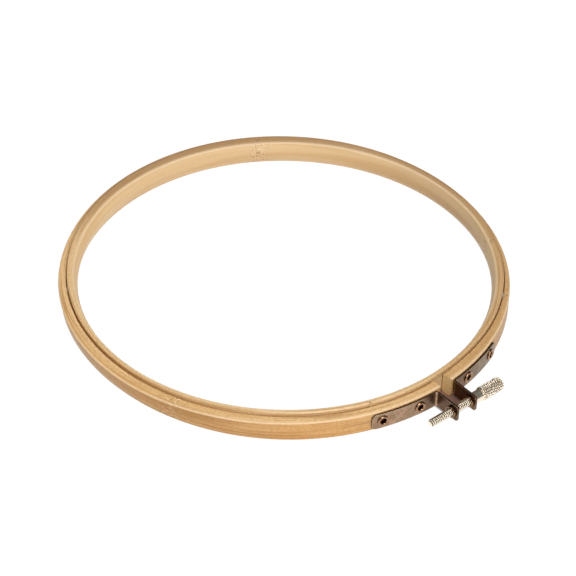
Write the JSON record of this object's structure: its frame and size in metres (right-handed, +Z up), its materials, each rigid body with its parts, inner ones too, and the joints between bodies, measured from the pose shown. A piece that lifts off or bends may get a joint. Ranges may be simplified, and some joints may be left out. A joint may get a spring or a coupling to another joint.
{
  "type": "embroidery hoop",
  "caption": "Round bamboo embroidery hoop: two nested wooden rings, the outer one split and closed by riveted metal ears and a knurled thumb screw.",
  "frame": {"origin": "centre of the base of the box that holds the whole hoop, on the surface it lies on", "axes": "+Z up through the rings, -Y towards the clamp, +X to the right as the clamp is faced, where the screw's head is"},
  "size_m": [0.2108, 0.226, 0.0115],
  "materials": {
    "outer_bamboo": "sanded bamboo with a thin satin varnish, grain round the ring",
    "inner_bamboo": "sanded bamboo with a thin satin varnish, grain round the ring",
    "antique_steel": "brown antique plating, worn bright on the bends",
    "copper": "dark copper plating, worn bright on the rims",
    "nickel": "warm nickel plating, dark in the grooves"
  },
  "bodies": {
    "hoop": {"outer_ring": "outer_bamboo", "right_bracket": "antique_steel", "right_rivet_near": "copper", "right_rivet_far": "copper"},
    "inner": {"inner_ring": "inner_bamboo"},
    "screw": {"thumb_screw": "nickel", "retaining_collar": "nickel"},
    "left_clamp": {"left_bracket": "antique_steel", "left_rivet_near": "copper", "left_rivet_far": "copper", "threaded_bush": "antique_steel"}
  },
  "joints": [
    {"name": "inner_ring_lift", "type": "slide", "parent": "hoop", "child": "inner", "axis": [0, 0, 1], "range_m": [0, 0.02]},
    {"name": "screw_turn", "type": "hinge", "parent": "hoop", "child": "screw", "pos_m": [-0.00039, -0.10899, 0.005], "axis": [0.9994, -0.0349, 0], "range_deg": [-190, 1500]},
    {"name": "ring_spring", "type": "hinge", "parent": "hoop", "child": "left_clamp", "pos_m": [0.00189, 0.11109, 0.005], "axis": [0, 0, -1], "range_deg": [-0.15, 1.1], "deforming": ["outer_ring"]}
  ],
  "couplings": [
    {"joint": "ring_spring", "follows": "screw_turn", "ratio": 0.00072336}
  ]
}
